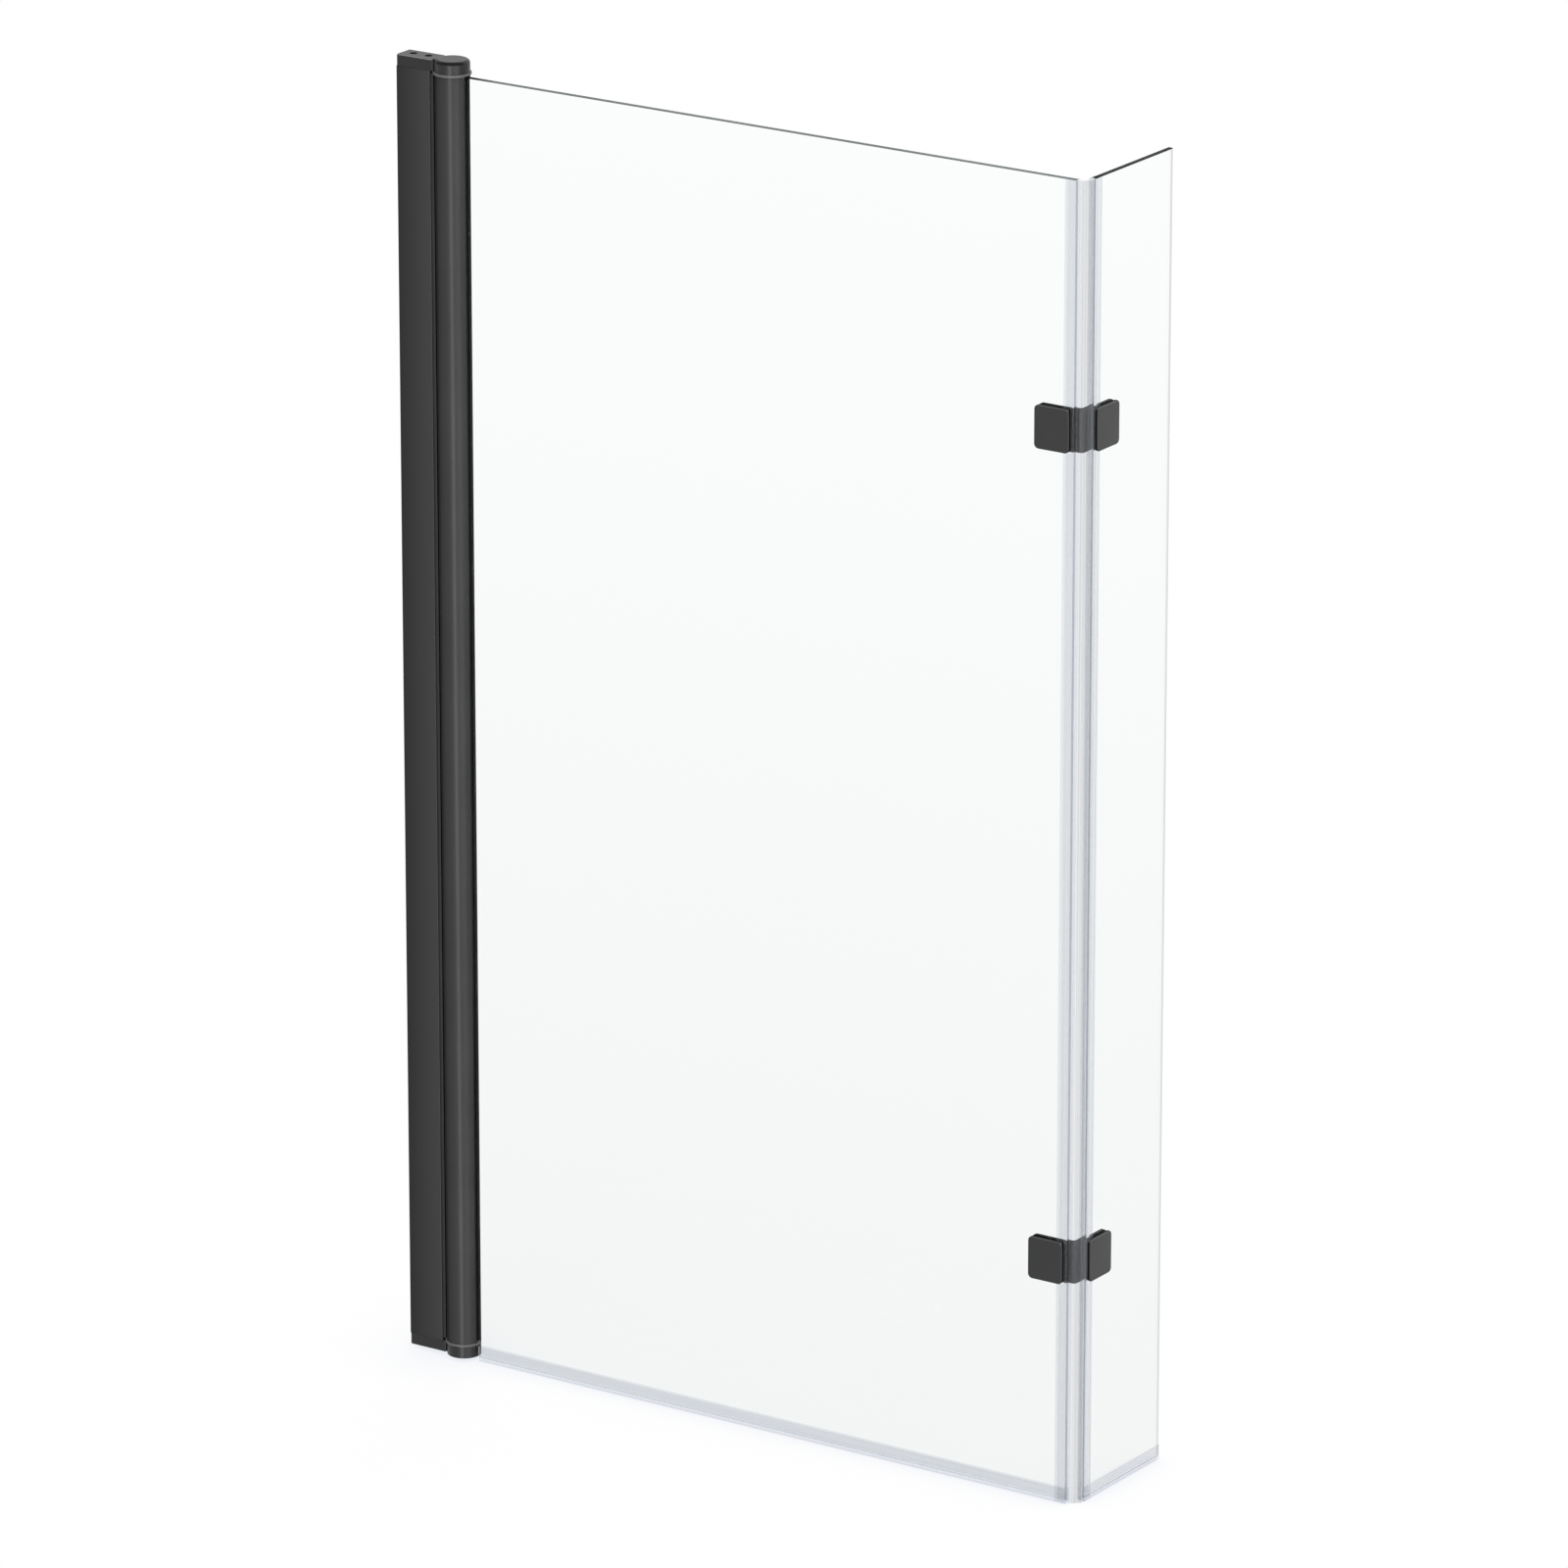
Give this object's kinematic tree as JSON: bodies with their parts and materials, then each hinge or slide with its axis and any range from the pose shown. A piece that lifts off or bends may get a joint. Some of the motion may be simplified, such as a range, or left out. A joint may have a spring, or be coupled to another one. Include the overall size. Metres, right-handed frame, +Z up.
{
  "type": "l-shaped bath screen",
  "caption": "Clear glass bath screen that swings on a black wall-mounted hinge post, with a narrow glass return panel joined at a right angle by black brackets and a clear corner seal.",
  "frame": {"origin": "middle of the line of wall fixing holes, on the wall plane and in the middle plane of the main glass", "axes": "+X from the wall along the main panel, +Y towards the return panel (the inside of the bath), +Z up"},
  "size_m": [0.8348, 0.1775, 1.4157],
  "materials": {
    "black_powder_coat": "satin black powder coat on aluminium",
    "black_cap_plastic": "satin black moulded plastic",
    "bearing_plastic": "dark grey acetal",
    "nylon": "natural nylon",
    "steel": "plain stainless steel",
    "black_rubber": "matt black rubber",
    "clear_glass": "clear toughened glass with polished edges",
    "clear_seal": "clear flexible vinyl"
  },
  "bodies": {
    "wall_side": {"wall_channel": "black_powder_coat", "pivot_post": "black_powder_coat", "hinge_wiper_seal": "black_rubber", "post_fixing_screws": "steel", "top_cap": "black_cap_plastic", "bottom_cap": "black_cap_plastic", "top_cap_screws": "steel", "bottom_cap_screws": "steel", "top_pivot_pin": "steel", "bottom_pivot_pin": "steel", "top_bearing_washer": "bearing_plastic", "bottom_bearing_washer": "bearing_plastic"},
    "screen": {"hinge_tube": "black_powder_coat", "top_bush": "nylon", "bottom_bush": "nylon", "front_glazing_gasket": "black_rubber", "rear_glazing_gasket": "black_rubber", "main_glass": "clear_glass", "return_glass": "clear_glass", "corner_seal": "clear_seal", "main_bottom_seal": "clear_seal", "return_bottom_seal": "clear_seal", "upper_bracket_body": "black_powder_coat", "upper_main_plate": "black_powder_coat", "upper_return_plate": "black_powder_coat", "upper_bracket_gaskets": "black_rubber", "upper_bracket_sleeves": "nylon", "upper_bracket_screws": "steel", "lower_bracket_body": "black_powder_coat", "lower_main_plate": "black_powder_coat", "lower_return_plate": "black_powder_coat", "lower_bracket_gaskets": "black_rubber", "lower_bracket_sleeves": "nylon", "lower_bracket_screws": "steel"}
  },
  "joints": [
    {"name": "screen_hinge", "type": "hinge", "parent": "wall_side", "child": "screen", "pos_m": [0.062, 0, 0], "axis": [0, 0, 1], "range_deg": [-90, 80]}
  ]
}
